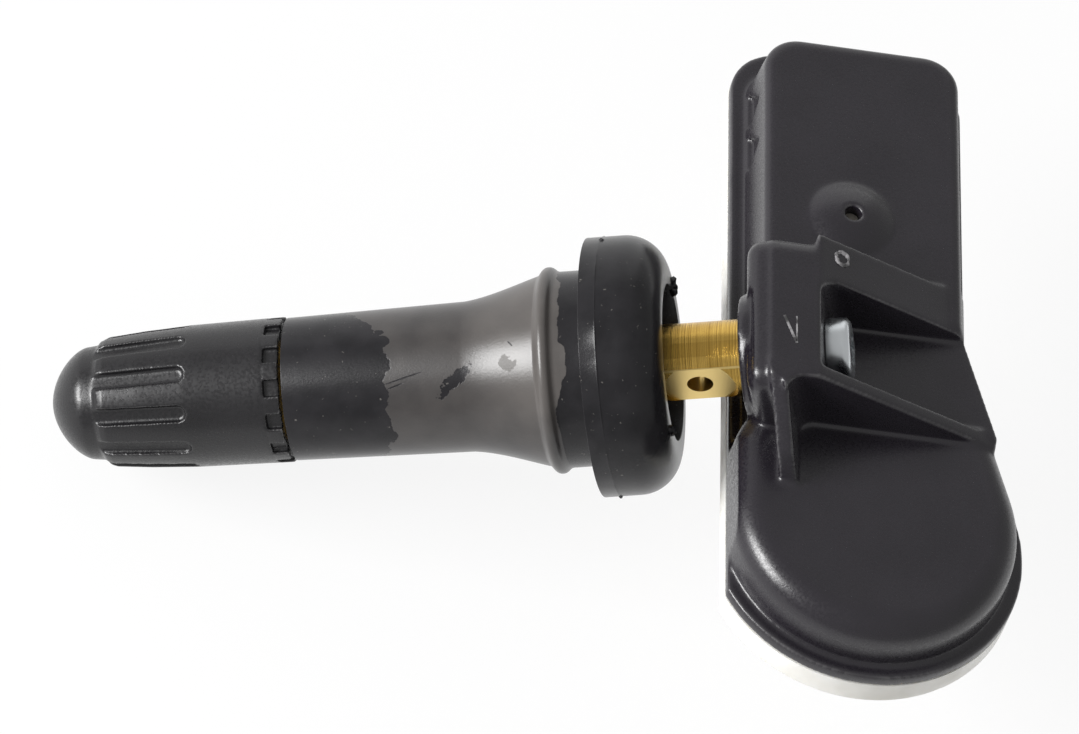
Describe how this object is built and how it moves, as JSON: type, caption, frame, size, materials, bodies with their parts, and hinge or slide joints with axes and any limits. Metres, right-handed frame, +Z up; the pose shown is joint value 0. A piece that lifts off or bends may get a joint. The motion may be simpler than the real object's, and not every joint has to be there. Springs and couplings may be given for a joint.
{
  "type": "tyre pressure sensor",
  "caption": "Tyre pressure sensor: dark moulded housing with a pale welded base and a screwed-on rubber snap-in valve with brass stem, valve core and fluted cap",
  "frame": {"origin": "On the valve axis, at the rubber flange's sealing face that bears on the inside of the wheel rim.", "axes": "+X from the valve towards the sensor housing, +Y along the housing to its small end, +Z up from the housing's base. The valve axis lies in the XZ plane and leans 20 degrees down towards the cap."},
  "size_m": [0.0735, 0.0572, 0.028],
  "materials": {
    "housing_plastic": "fine-grained dark moulded plastic, paler on handled edges",
    "cover_plastic": "natural white, slightly translucent",
    "board_laminate": "green solder resist over glass laminate",
    "cell_steel": "nickel-plated can",
    "tab_nickel": "thin nickel strip",
    "chip_resin": "black moulding resin",
    "seal_silicone": "soft pale silicone",
    "can_steel": "plated can",
    "coil_ferrite": "ferrite with enamelled wire",
    "aerial_wire": "tinned wire",
    "chip_ceramic": "ceramic chip",
    "screw_steel": "bright zinc-plated steel",
    "stem_brass": "turned brass with fine tool marks",
    "valve_rubber": "matte rubber with a greyish brown bloom on the sleeve",
    "core_brass": "turned brass",
    "gasket_resin": "fluoropolymer ring",
    "cup_rubber": "moulded rubber facing",
    "spring_steel": "wound spring wire",
    "cap_plastic": "dark satin plastic",
    "washer_rubber": "moulded rubber"
  },
  "bodies": {
    "sensor": {"housing": "housing_plastic", "base_cover": "cover_plastic", "circuit_board": "board_laminate", "battery_cell": "cell_steel", "positive_tab": "tab_nickel", "negative_tab": "tab_nickel", "sensor_chip": "chip_resin", "port_seal": "seal_silicone", "crystal": "can_steel", "lf_coil": "coil_ferrite", "antenna_loop": "aerial_wire", "chip_parts": "chip_ceramic", "sensor_screw": "screw_steel", "brass_stem": "stem_brass", "rubber_body": "valve_rubber", "core_plug": "core_brass", "core_barrel": "core_brass", "core_gasket": "gasket_resin", "core_spring": "spring_steel"},
    "cap_washer": {"cap_seal": "washer_rubber"},
    "cap": {"valve_cap": "cap_plastic"},
    "valve_pin": {"core_pin": "core_brass", "core_cup": "cup_rubber"}
  },
  "joints": [
    {"name": "cap_lift", "type": "slide", "parent": "sensor", "child": "cap_washer", "axis": [-0.9397, 0, -0.342], "range_m": [0, 0.00635]},
    {"name": "cap_turn", "type": "hinge", "parent": "cap_washer", "child": "cap", "pos_m": [-0.0343, 0, -0.01248], "axis": [-0.9397, 0, -0.342], "range_deg": [0, 2880]},
    {"name": "core_press", "type": "slide", "parent": "sensor", "child": "valve_pin", "axis": [0.9397, 0, 0.342], "range_m": [0, 0.0015], "stiffness_N_per_m": 2000, "springref_m": -0.001, "deforming": ["core_spring"]}
  ],
  "couplings": [
    {"joint": "cap_turn", "follows": "cap_lift", "rad_per_m": 7913.3}
  ]
}
